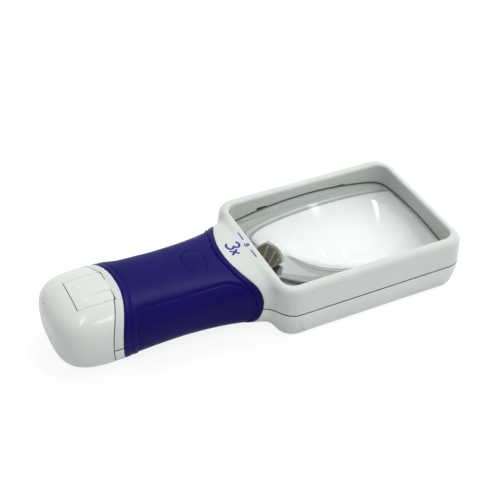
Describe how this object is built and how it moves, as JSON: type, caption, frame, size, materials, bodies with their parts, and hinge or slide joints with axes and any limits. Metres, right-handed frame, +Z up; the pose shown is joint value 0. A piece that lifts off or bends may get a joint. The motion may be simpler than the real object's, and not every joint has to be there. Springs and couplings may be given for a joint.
{
  "type": "illuminated hand magnifier",
  "caption": "Illuminated rectangular hand magnifier: biconvex lens in a split housing, waisted battery handle with soft grip, oval push switch and latched end cap.",
  "frame": {"origin": "middle of the bounding box on the table it lies on", "axes": "+X from the battery cap along the handle to the head, +Y across the handle, +Z up out of the viewing opening"},
  "size_m": [0.1584, 0.0624, 0.0244],
  "materials": {
    "white_plastic": "glossy moulded white plastic with a cool grey-green cast",
    "clear_lens": "polished clear acrylic lens",
    "frame_plastic": "pale grey satin plastic",
    "grip_rubber": "satin navy soft-touch rubber",
    "inner_plastic": "plain natural plastic",
    "switch_plastic": "black moulded plastic",
    "board_laminate": "green solder mask on laminate",
    "resistor_body": "lacquered ceramic",
    "lamp_resin": "yellow phosphor resin",
    "shade_plastic": "dark grey glossy plastic",
    "contact_brass": "bright stamped brass",
    "cell_jacket": "plain dark cell jacket",
    "spring_steel": "plated spring wire",
    "screw_steel": "zinc plated steel"
  },
  "bodies": {
    "housing": {"upper_housing": "white_plastic", "lower_housing": "white_plastic", "lens": "clear_lens", "lens_frame": "frame_plastic", "grip_sleeve": "grip_rubber", "contact_carrier": "inner_plastic", "push_switch": "switch_plastic", "circuit_board": "board_laminate", "resistor": "resistor_body", "led_lamps": "lamp_resin", "lamp_shade": "shade_plastic", "lamp_strips": "contact_brass", "battery_left": "cell_jacket", "battery_right": "cell_jacket", "front_contacts": "contact_brass", "front_spring": "spring_steel", "housing_screws": "screw_steel"},
    "button": {"switch_button": "grip_rubber", "switch_plunger": "inner_plastic"},
    "cap": {"battery_cap": "white_plastic", "cap_contact_bridge": "contact_brass", "cap_spring": "spring_steel"},
    "latch": {"latch_tongue": "white_plastic"}
  },
  "joints": [
    {"name": "button_press", "type": "slide", "parent": "housing", "child": "button", "axis": [0, 0, -1], "range_m": [0, 0.0009], "stiffness_N_per_m": 900},
    {"name": "cap_slide", "type": "slide", "parent": "housing", "child": "cap", "axis": [-1, 0, 0], "range_m": [0, 0.028]},
    {"name": "latch_flex", "type": "hinge", "parent": "housing", "child": "latch", "pos_m": [-0.05565, 0, 0.0229], "axis": [0, -1, 0], "range_deg": [0, 4], "stiffness_Nm_per_rad": 0.6}
  ]
}
